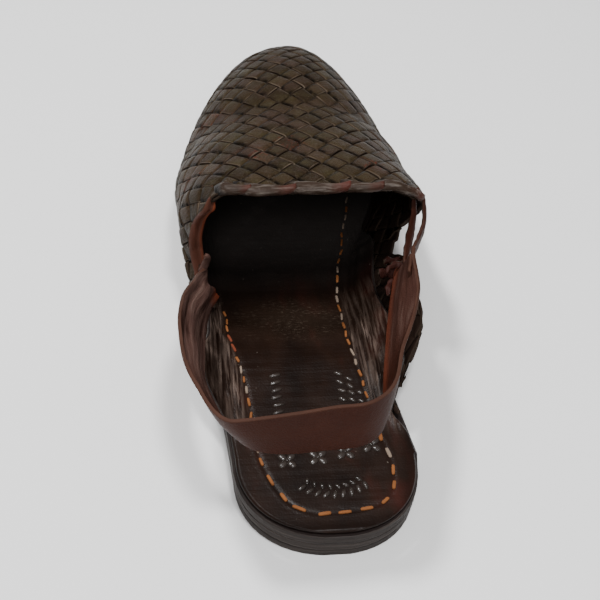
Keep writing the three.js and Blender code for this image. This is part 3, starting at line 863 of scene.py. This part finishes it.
def rolled_edges():
    bm, layers = new_mesh("worn", "shade")
    for strip in THROAT_STRIPS:
        rolled_strip(bm, layers, **strip)
    piece = new_sheet("throat_strips", bm, (ROLLED, CUT_EDGE), 0.8)
    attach(piece, "root")


# columns of the lattice where the collar's strip starts and how many it passes, its height from
# the wall, its width and the radius of its roll, and the shares across it where the roll is
BAND = {"start": -6.6, "passes": 10.2, "height": -0.4, "wide": 3.9, "radius": 0.9,
        "from": 0.55, "roll": 0.3}


def collar_band():
    """The red-brown strip inside the outer collar, rolled over along its top."""
    bm, (worn, edge) = new_mesh("worn", "edge")
    radius, start = BAND["radius"], BAND["from"]
    for vert, u, q in zip(*sheet(bm, 60, 12)):
        column = np.array([BAND["start"] - BAND["passes"] * u])
        at = Vector(on_upper(0.0, column, np.array([BAND["height"]]))[0])
        low = smooth(0.7, 1.0, u)
        begun = smooth(0.0, 0.22, u)
        top = 1 - smooth(0.0, 0.3, u)
        wide = (BAND["wide"] - 0.9 * low) * (0.3 + 0.7 * begun)
        angle = math.pi * min(1.0, max(0.0, (q - start) / BAND["roll"]))
        across = wide * (q / start if q < start else 1) + radius * math.sin(angle)
        ahead = 1.6 - 0.35 * across + (radius - radius * math.cos(angle))
        ahead += 4.0 * max(0.0, q - 0.85) / 0.15
        ahead += 3.2 * (1 - begun) - 2.4 * (1 - smooth(0.12, 0.5, q))
        bow = 0.8 * noise.noise(Vector((u * 5, 2.0, 0.5)))
        point = at + Vector((across * (1 - 0.3 * top) - 1.5, ahead + bow, 0))
        point.z -= 0.75 * across * top + 2.4 * (1 - smooth(0.0, 0.1, u))
        vert.co = place(point)
        vert[edge] = q
        vert[worn] = 0.35 + 0.65 * (1 - smooth(0.15, 0.55, u))
    piece = new_sheet("collar_strip", bm, (COLLAR_RED, STRAP_EDGE), 1.0)
    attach(piece, "root")


collar_band()
rolled_edges()


# ---- the heel strap ----
# lower edge of the band, how far its upper edge leans out, and its height
STRAP_PATH = {
    "x": (-37.0, -41.3, -45.8, -47.2, -42.4, -32.2, -19.0, -6.0, 6.0, 12.5, 16.5, 22.8, 29.8,
          34.8, 37.4, 38.2),
    "y": (112, 97, 80, 56, 33, 18, 15, 15.5, 16.5, 22, 40, 70, 98, 115, 126, 136),
    "z": (19, 26, 33, 39, 41, 41, 41, 41.5, 42, 42, 42, 39.5, 36.5, 35.5, 38, 41),
    "lean_x": (-9.5, -6.4, -7.2, -7.4, -8.0, -6.4, 0, 0, 0, 1, 4, 4.5, 4.5, 5.2, 2.2, -1.4),
    "lean_y": (-6, -3, -2, -2, -3, -5, -1, 0, 0, 0, 0, 0, -3, -8, -8, -5),
    "tall": (22,) * 14 + (20, 14.5),
}
STRAP_THICKNESS = 1.3
# the band's lengthwise folds: share across it, half width, depth inwards and sharpness
FOLDS = ((0.56, 0.40, 2.3, 1.2), (0.84, 0.10, -0.7, 1))
FOLD_END = 98               # where along the band they run out
TURNED = {"from": (168, 196), "to": (204, 232), "out": 4.4, "down": 1.2}    # top, inner side
SAG = {"at": 56, "reach": 30, "in": 1.6, "down": 2.4}
BAND_END = 236              # and where the band ends in its two tails
FRONT_REACH = 14            # length of the band's ragged front end


def strap_curves():
    x, y, z, lean_x, lean_y, tall = (np.array(column, float) for column in STRAP_PATH.values())
    low = np.stack([x, y, z], axis=-1)
    lean = np.stack([lean_x, lean_y, np.sqrt(tall ** 2 - lean_x ** 2 - lean_y ** 2)], axis=-1)
    walk = walked(low)
    return [[table_curve(walk, edge[:, k]) for k in range(3)] for edge in (low, low + lean)]


STRAP_LINES = strap_curves()


def strap_frame(s):
    """Lower edge, upper edge and outward direction of the band at s."""
    bottom, top = (on_line(line, s) for line in STRAP_LINES)
    out = (on_line(STRAP_LINES[0], s + 1) - bottom).cross(top - bottom).normalized()
    return bottom, top, out


def strap_point(s, v):
    """A point of the band's middle, folded lengthwise on the outer side of the shoe."""
    bottom, top, out = strap_frame(s)
    folded = 1 - smooth(55, FOLD_END, s)
    inwards = folded * sum(deep * max(0.0, 1 - abs(v - at) / half) ** sharp
                           for at, half, deep, sharp in FOLDS)
    inwards -= 0.8 * math.sin(math.pi * v) * (1 - folded)
    inwards += 0.35 * noise.noise(Vector((s * 0.07, v * 1.3, 3)))
    inwards += folded * 0.9 * noise.noise(Vector((s * 0.04, v * 5, 9)))
    point = bottom.lerp(top, v) - out * inwards
    turned = smooth(*TURNED["from"], s) - smooth(*TURNED["to"], s)
    turned = turned * max(0.0, (v - 0.5) / 0.5) ** 1.3
    point += out * TURNED["out"] * turned - Vector((0, 0, TURNED["down"] * turned))
    sag = math.exp(-((s - SAG["at"]) / SAG["reach"]) ** 2) * (1 - v) ** 2
    return point + Vector((SAG["in"] * sag, 0, -SAG["down"] * sag))


def heel_strap():
    bm, (shade, worn, edge) = new_mesh("shade", "worn", "edge", mapped=True)
    steps = {}
    start, _, out = strap_frame(0.0)
    ahead = (start - strap_frame(3.0)[0]).normalized()
    for vert, u, v in zip(*sheet(bm, 210, 22)):
        s = u * (BAND_END + 5 * math.sin(5 * v + 0.6) + 2 * math.sin(17 * v))
        front = max(0.0, 1 - s / FRONT_REACH)
        reach = front * (6.0 * math.exp(-((v - 0.88) / 0.13) ** 2)
                         - 4.5 * math.exp(-((v - 0.58) / 0.14) ** 2))
        point = strap_point(s, v) + ahead * reach
        vert.co = place(point - out * (3.0 * front ** 2 * max(0.0, v - 0.62) / 0.38))
        # painted sheen: full on the folded outer part, weaker along the inner side's end
        vert[shade] = 1 - smooth(60, FOLD_END, s) + 0.4 * smooth(165, 195, s)
        low_edge = 0.45 * smooth(150, 180, s) * (1 - smooth(0.04, 0.3, v))
        vert[worn] = front * (1 - smooth(0.15, 0.45, v)) + low_edge
        vert[edge] = v
        steps[vert] = (s, v * STRAP_PATH["tall"][0])
    map_strip(bm, steps)
    piece = new_sheet("strap_band", bm, (STRAP, STRAP_EDGE), STRAP_THICKNESS)
    rounding = piece.modifiers.new("rounding", "BEVEL")
    rounding.width = 0.3 * MM
    rounding.segments = 2
    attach(piece, "root")
    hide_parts("heel_strap")


# ---- loose strips: the strap's two tails, torn ends and the curl at the outer corner ----
# each is the width across it, the side that it faces and a line of x, y and z
TAILS = (
    (5.2, (1, -0.45, 0.1), (
        (31.5, 84, 55.0), (35.0, 96, 54.3), (38.8, 105, 52.5), (41.6, 111, 53), (42.8, 116, 57),
        (42.2, 119.5, 61.5), (40.0, 123.5, 64))),
    (3.8, (0.42, -0.9, 0), (
        (31.2, 92, 42.6), (34.4, 102, 42.4), (36.4, 109, 44.5), (37.8, 114, 50),
        (38.8, 118, 57.5), (38.4, 122, 63))),
    (3.2, (0.5, -1, 0.3), (
        (-43.5, 112, 33.5), (-42.2, 112.5, 37), (-41.4, 112, 40.5), (-42.6, 111.6, 41.8))),
)
TORN_ENDS = (
    (5.6, (0.1, -0.8, 0.6), (
        (37, 102, 40), (33.5, 105.5, 36.5), (29, 106.5, 35), (25.2, 105, 37))),
    (3.4, (0.5, -0.3, 0.8), (
        (36, 108, 39), (33.5, 112, 37), (30.2, 110.5, 38), (27.6, 108, 40.5))),
    (2.8, (-0.4, -0.7, 0.5), (
        (34, 100, 36), (30.5, 102, 33.5), (28.2, 99, 34.6), (27.6, 95.5, 33.4))),
    (2.6, (0.2, -0.6, 0.8), (
        (36.5, 111, 38), (36.0, 115, 34), (32.5, 117, 30.5), (29.4, 116, 31))),
    (2.2, (0.1, -1, 0.3), (
        (33.4, 96, 35), (30.8, 97.5, 32), (29.4, 94.5, 31.6), (29.0, 91.5, 33))),
    (2.2, (0, -0.6, 0.8), (
        (35.5, 103, 42.5), (32.0, 104.5, 41.5), (28.8, 103, 42), (27, 100.5, 40.6))),
)


def loose_strip(bm, layers, width, facing, line, tearing):
    length, curves = line_curves(np.array(line, float))
    facing = Vector(facing).normalized()
    shade, edge = layers
    for vert, u, v in zip(*sheet(bm, max(12, round(length * 0.9)), 6)):
        s = u * length
        here = on_line(curves, s)
        ahead = (on_line(curves, s + 0.5) - here).normalized()
        across = ahead.cross(facing).normalized()
        ragged = 1 + tearing * noise.noise(Vector((s * 0.5, v, width)))
        half = width / 2 * ragged * (1 - 0.75 * max(0.0, u - 0.6) / 0.4)
        cup = 0.5 * (2 * v - 1) ** 2 + tearing * noise.noise(Vector((s * 0.4, 3 * v, 5 + width)))
        vert.co = place(here + across * half * (2 * v - 1) - across.cross(ahead) * cup)
        vert[edge] = v
        # the strip on the outer side takes the strap's paler colour, the same painted sheen as
        # the band's folded part
        vert[shade] = 1.0 if line[0][0] < 0 else 0.0


def loose_strips(name, strips, materials, thickness, tearing):
    bm, layers = new_mesh("shade", "edge")
    for strip in strips:
        loose_strip(bm, layers, *strip, tearing)
    piece = new_sheet(name, bm, materials, thickness)
    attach(piece, "root")


heel_strap()
loose_strips("strap_tails", TAILS, (STRAP, STRAP_EDGE), thickness=1.1, tearing=0.3)
loose_strips("torn_ends", TORN_ENDS, (TORN, CUT_EDGE), thickness=0.7, tearing=0.9)


# ---- the footbed ----
# middle of its seam: x and y up the outer side, round the heel and along the inner side
SEAM_POINTS = np.array((
    (-34.9, -33.6, -34.1, -32.8, -31.4, -30.0, -28.9, -28.2, -27.2, -25.8, -21.9, -16.3, -6.3,
     2.1, 11.2, 18.2, 20.7, 20.8, 18.8, 16.8, 15.4, 14.4, 13.6, 13.0, 13.1, 12.9, 14.2, 16.4,
     18.7, 20.8, 23.5, 26.0),
    (115, 107, 99, 92, 83, 74.6, 65.5, 52, 38, 30.2, 20.1, 12.3, 8.6, 8.9, 10.6, 14.8, 22.4,
     31, 41, 55, 71.3, 78.3, 87, 96.7, 106.7, 117.8, 128, 141.9, 149.2, 162.6, 171.3, 185.4),
)).T
SEAM_LENGTH, SEAM_CURVES = line_curves(SEAM_POINTS)
FOOTBED_START = 0.95
FOOTBED_END = SHOE_LENGTH - 13
FOOTBED_THICKNESS = INSOLE_THICKNESS - 1.0
HEEL_DISH = {"x": -3, "y": 38, "wide": 30, "long": 34}
DISH_DEPTH = 0.9
WAIST = (40, 62), (150, 185)        # stations where it begins and where it ends
# the first stations start the painted shade under the upper, the second a painted dim grey light
# deeper inside
INSIDE = {"covered": (112, 128), "deep": (124, 160)}    # stations where the upper's shade starts
# gap from the sole's edge to the footbed: at the heel, how much wider in front of it, and the
# stations where it widens on the outer and the inner side, and at the toe
GAP, WIDER, TOE_WIDER = 0.9, 5.1, 4.8
GAP_WIDENS = {"outer": (76, 90), "inner": (42, 56), "toe": (212, 250)}
# a pale patch in the middle: partly rubbed wear, partly painted sheen
RUBBED_AND_SHEEN_PATCH = {"x": -3, "y": 108, "wide": 21, "long": 11}
# margins that climb the sides of the waist: share of the footbed's mesh, rise, and the
# stations between which each one rises and falls
MARGINS = {
    "outer": {"share": 0.12, "rise": 8.0, "rises": (46, 64), "falls": (110, 126)},
    "inner": {"share": 0.14, "rise": 9.5, "rises": (50, 70), "falls": (142, 166)},
}


def spread(x, y, patch):
    """1 in the middle of a patch, fading out round it."""
    return np.exp(-((x - patch["x"]) / patch["wide"]) ** 2
                  - ((y - patch["y"]) / patch["long"]) ** 2)


def wrinkles(a, b, layer):
    """Noise at each of two rows of places."""
    return np.array([noise.noise(Vector((pa, pb, layer))) for pa, pb in zip(a, b)])


def seam_relation(x, y):
    """Distance of each point from the seam, and whether it lies outside it."""
    seam = np.stack([curve(np.linspace(0, SEAM_LENGTH, 320)) for curve in SEAM_CURVES], axis=-1)
    nearest = np.full(len(x), 1e9)
    for px, py in seam:
        nearest = np.minimum(nearest, np.hypot(x - px, y - py))
    return nearest, ~within([*seam, (26, AHEAD), (-34.5, AHEAD)], x, y)


def footbed_surface(x, y, left, right, top):
    """Heights of the footbed and how much of a wrinkled margin each point is, most on the
    wrinkles' ridges, whose pale colour is a painted highlight.
    """
    edge = np.minimum(np.minimum(x - left, right - x), y - FOOTBED_START)
    seam, outside = seam_relation(x, y)
    beyond = np.where(outside, unit(seam / 2.5), 0)
    waist = between(*WAIST, y)
    curl = 2.0 * waist * unit(1 - edge / 8.5) ** 2
    dish = DISH_DEPTH * spread(x, y, HEEL_DISH)
    rim = 0.9 * unit(1 - edge / 1.3) ** 2 * (1 - waist)
    z = top - rim + curl - dish - 0.4 * np.exp(-(seam / 0.9) ** 2) - 0.3 * beyond * (1 - waist)
    along = wrinkles(x * 0.75, y * 0.07, 1.5)
    cross = wrinkles(x * 0.06, y * 0.62, 4.5)
    z = z + beyond * waist * (0.7 * along + 0.3 * np.abs(along)) + (1 - beyond) * 0.16 * cross
    return z, beyond * waist * (0.35 + 1.8 * np.maximum(0, along))


def margin_there(side, y):
    """1 where the margin of one side climbs, 0 where the footbed just ends at its edge."""
    return between(MARGINS[side]["rises"], MARGINS[side]["falls"], y)


def margin_climb(side, y, gone):
    """How far a climbing margin has gone sideways and up, at a share of the way along it."""
    rise = MARGINS[side]["rise"] * margin_there(side, y) * gone
    inset = FEATHER_INSET if side == "outer" else -FEATHER_INSET
    flare = CURVE[side](y) + inset - CURVE["wall_" + side](y)
    low = unit(1 - rise / CURVE["under"](y))
    return flare * (low ** 1.5 - 1), rise


def footbed_rows(ys):
    """The footbed's two sides, each at its gap from the sole's edge, and its plain height."""
    rows = []
    for y in ys:
        toe = TOE_WIDER * smooth(*GAP_WIDENS["toe"], y)
        outer, inner = (GAP + WIDER * smooth(*GAP_WIDENS[side], y) + toe
                        for side in ("outer", "inner"))
        rows.append((sole_sides(y, outer)[0], sole_sides(y, inner)[1],
                     sole_top(y) + FIT_GAP + INSOLE_THICKNESS))
    return np.array(rows).T


def on_footbed(x, y):
    """The height of the footbed at one place."""
    z, _ = footbed_surface(np.array([x]), np.array([y]), *footbed_rows([y]))
    return float(z[0])


def footbed():
    bm, layers = new_mesh("margin", "worn", "shade", "deep")
    verts, u, v = sheet(bm, 300, 126)
    stations, row = np.unique(u, return_inverse=True)
    ys = FOOTBED_START + (FOOTBED_END - FOOTBED_START) * (1 - np.cos(math.pi * stations)) / 2
    y, left, right, top = np.array([ys, *footbed_rows(ys)])[:, row]
    shares = {side: MARGINS[side]["share"] * margin_there(side, y) for side in MARGINS}
    x = left + (right - left) * unit((v - shares["outer"]) / (1 - sum(shares.values())))
    z, grey = footbed_surface(x, y, left, right, top)
    folds = wrinkles(v * 34, y * 0.05, 8.5)
    for side, share in shares.items():
        gone = unit(1 - (v if side == "outer" else 1 - v) / np.maximum(share, 1e-6))
        sideways, rise = margin_climb(side, y, gone)
        climbed = smooth(0, 2, rise)
        x, z = x + sideways - 0.5 * climbed * folds, z + rise + 0.5 * climbed * folds
        # the fold ridges of a climbing margin take more of the painted highlight
        grey = np.maximum(grey, climbed * (0.25 + 1.3 * np.maximum(0, folds)))
    # painted shade under the upper, and a painted dim grey light deeper inside
    covered, deep = (smooth(*INSIDE[name], y) for name in ("covered", "deep"))
    lay(verts, zip(x, y, z), layers, grey * (1 - covered), spread(x, y, RUBBED_AND_SHEEN_PATCH), covered,
        deep)
    piece = new_sheet("footbed", bm, (FOOTBED, SOLE_EDGE), FOOTBED_THICKNESS, offset=-1.0,
                      face_up=True)
    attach(piece, "root")
    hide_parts("insole")


footbed()


# ---- tool marks pressed into the footbed ----
# rows of slanted dashes round an arc and up the sides, and small four-leaved flowers
DASH_ROWS = ({"radius": 19.5, "count": 9, "long": 2.1, "wide": 1.0, "slant": -0.5},
             {"radius": 16.0, "count": 8, "long": 1.7, "wide": 0.9, "slant": 0.6})
DASH_ARC = {"x": -1.5, "y": 36, "from": -130, "to": -50}
FLOWERS = ((-17.0, 32.5), (-5.6, 33.5), (4.6, 35.5), (14.6, 38))
LEAF = {"out": 2.3, "long": 2.1, "wide": 1.5}
HEART = 0.8                 # a flower's middle
DASH_COLUMNS = ({"x": -17.8, "y": 55, "end": 73, "count": 6, "slant": 0.3, "long": 2.6},
                {"x": 7.0, "y": 56, "end": 73, "count": 5, "slant": -0.5, "long": 2.0},
                {"x": 10.6, "y": 53, "end": 70, "count": 6, "slant": -0.7, "long": 1.9},
                {"x": 14.0, "y": 51, "end": 63, "count": 4, "slant": -0.5, "long": 1.6})


def laid_flat(x, y, above, turn, long, wide, tall):
    """Puts a unit shape on the footbed: its half sizes in millimetres, turned about z."""
    return (Matrix.Translation(place((x, y, on_footbed(x, y) + above)))
            @ Matrix.Rotation(turn, 4, "Z")
            @ Matrix.Diagonal((long * MM, wide * MM, tall * MM, 1)))


def mark(bm, x, y, long, wide, turn):
    made = bmesh.ops.create_uvsphere(bm, u_segments=10, v_segments=6, radius=1)
    shape = laid_flat(x, y, -0.1, turn, long, wide, 0.8)
    bmesh.ops.transform(bm, matrix=shape, verts=made["verts"])


def tool_marks():
    bm = bmesh.new()
    arc = DASH_ARC
    for row in DASH_ROWS:
        for k in range(row["count"]):
            share = (k + 0.5) / row["count"]
            angle = math.radians(arc["from"] + (arc["to"] - arc["from"]) * share)
            mark(bm, arc["x"] + row["radius"] * math.cos(angle),
                 arc["y"] + row["radius"] * math.sin(angle), row["long"], row["wide"],
                 angle + row["slant"] + luck.uniform(-0.25, 0.25))
    for x, y in FLOWERS:
        for k in range(4):
            turn = math.pi / 4 + k * math.pi / 2
            mark(bm, x + LEAF["out"] * math.cos(turn), y + LEAF["out"] * math.sin(turn),
                 LEAF["long"], LEAF["wide"], turn)
        mark(bm, x, y, HEART, HEART, 0)
    for column in DASH_COLUMNS:
        for k in range(column["count"]):
            share = k / (column["count"] - 1)
            mark(bm, column["x"] + luck.uniform(-0.3, 0.3),
                 column["y"] + (column["end"] - column["y"]) * share, column["long"], 1.0,
                 column["slant"] + luck.uniform(-0.15, 0.15))
    piece = new_piece("footbed_marks", bm, MARKED)
    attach(piece, "root")


tool_marks()


# ---- the soles keep their solids ----
for solid, material in (("outsole", SOLE_EDGE), ("heel_lift_1", SOLE_EDGE),
                        ("heel_lift_2", SOLE_EDGE), ("toe_border", BORDER)):
    finish = frame["nodes"][solid].data.materials
    finish.clear()
    finish.append(material)


# ---- stitches along the footbed ----
# ranges of their length, half width and gap, and the draws up to which one is orange or pale
STITCHES = {
    "heel": {"long": (3.2, 5.2), "wide": (0.50, 0.78), "gap": (2.4, 4.6),
             "orange": 0.93, "pale": 1.0},
    "waist": {"long": (2.8, 4.4), "wide": (0.42, 0.58), "gap": (1.6, 3.0),
              "orange": 0.5, "pale": 0.8},
}
STITCH_START, STITCH_MARGIN = 2.0, 4
STITCH_HALF = 0.55          # half its height, and how far its edges are rounded
HEEL_SEAM = walked(SEAM_POINTS)[[8, 18]]


def stitches():
    meshes = {name: bmesh.new() for name in THREADS}
    at = STITCH_START
    while at < SEAM_LENGTH - STITCH_MARGIN:
        kind = STITCHES["heel" if HEEL_SEAM[0] < at < HEEL_SEAM[1] else "waist"]
        length = luck.uniform(*kind["long"])
        middle = at + length / 2
        x, y = (float(curve(middle)) for curve in SEAM_CURVES)
        dx, dy = (float(curve(middle + 1)) - c for curve, c in zip(SEAM_CURVES, (x, y)))
        turn = math.atan2(dy, dx) + luck.uniform(-0.22, 0.22)
        draw = luck.random()
        name = "orange" if draw < kind["orange"] else "pale" if draw <= kind["pale"] else "rust"
        shape = laid_flat(x, y, 0.15, turn, length / 2, luck.uniform(*kind["wide"]),
                          STITCH_HALF)
        bm = meshes[name]
        made = bmesh.ops.create_cube(bm, size=2)
        edges = list({e for v in made["verts"] for e in v.link_edges})
        rounded = bmesh.ops.bevel(bm, geom=edges, offset=STITCH_HALF, offset_type="OFFSET",
                                  segments=2, profile=0.5, affect="EDGES", material=-1)
        verts = list({v for f in rounded["faces"] for v in f.verts})
        bmesh.ops.transform(bm, matrix=shape, verts=verts)
        at += length + luck.uniform(*kind["gap"])
    for name, material in THREADS.items():
        piece = new_piece(f"stitches_{name}", meshes[name], material)
        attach(piece, "root")


stitches()


# ---- floor, light and camera ----
def floor():
    bm = bmesh.new()
    bmesh.ops.create_grid(bm, x_segments=1, y_segments=1, size=3)
    paint = Finish("floor_paint").surface((0.85, 0.85, 0.85), roughness=0.9, gloss=0.1)
    piece = new_piece("floor", bm, paint)


def new_object(name, data):
    made = bpy.data.objects.new(name, data)
    bpy.context.scene.collection.objects.link(made)
    return made


def area_light(name, location, size, power):
    light = bpy.data.lights.new(name, "AREA")
    light.shape = "DISK"
    light.size = size
    light.energy = power
    lamp = new_object(name, light)
    lamp.location = location
    lamp.rotation_euler = (-Vector(location)).to_track_quat("-Z", "Y").to_euler()


def camera():
    data = bpy.data.cameras.new("camera")
    data.sensor_width = 36
    data.lens = 76.5
    ahead = Vector((0.12341, 0.69882, -0.70457)).normalized()
    right = Vector((0.99195, -0.10709, 0.06754))
    right = (right - ahead * right.dot(ahead)).normalized()
    turn = Matrix((right, right.cross(ahead), -ahead)).transposed()
    seen = new_object("camera", data)
    seen.matrix_world = Matrix.Translation(place((-67.4, -248.1, 378.85))) @ turn.to_4x4()
    bpy.context.scene.camera = seen


def world():
    """A softbox overhead that fades towards the horizon."""
    surroundings = bpy.data.worlds.new("studio")
    surroundings.use_nodes = True
    n = Nodes(surroundings.node_tree)
    height = n.add("ShaderNodeSeparateXYZ")
    n.feed(n.add("ShaderNodeTexCoord").outputs["Generated"], height.inputs["Vector"])
    sky = n.ramp(height.outputs["Z"], (0.10, (0.05, 0.05, 0.05)), (0.8, (0.54, 0.54, 0.54)))
    n.feed(sky, surroundings.node_tree.nodes["Background"].inputs["Color"])
    bpy.context.scene.world = surroundings


floor()
world()
area_light("key", (-0.30, 0.25, 1.0), 0.15, 10)
area_light("back", (0.05, -0.30, 1.0), 0.15, 7)
area_light("side", (-0.9, -0.1, 0.35), 0.5, 0.2)
area_light("front", (-0.15, -0.8, 0.8), 0.3, 4)
camera()
